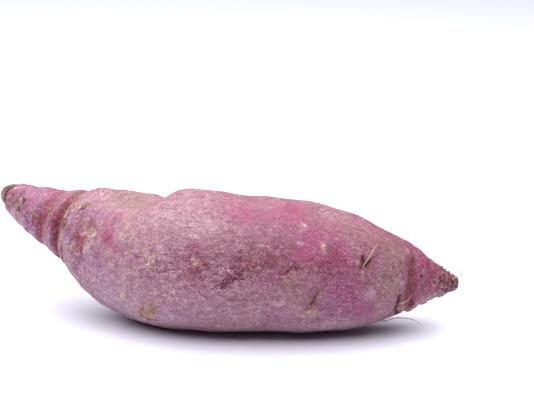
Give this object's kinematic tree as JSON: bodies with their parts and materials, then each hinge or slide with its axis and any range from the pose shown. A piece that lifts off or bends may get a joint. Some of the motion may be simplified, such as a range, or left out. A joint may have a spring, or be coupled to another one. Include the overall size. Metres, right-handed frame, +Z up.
{
  "type": "purple sweet potato",
  "caption": "Whole raw purple sweet potato with a ringed neck and a tapered root tip, a tuber for cooking that lies on its side.",
  "frame": {"origin": "middle of the root's length and depth, on the surface that it lies on", "axes": "+X along the root towards its tip, with the stalk scar at -X; -Y is the front that the picture shows; +Z up"},
  "size_m": [0.1861, 0.0757, 0.0551],
  "materials": {
    "skin": "matte"
  },
  "bodies": {
    "root": {"sweet_potato": "skin"}
  },
  "joints": []
}
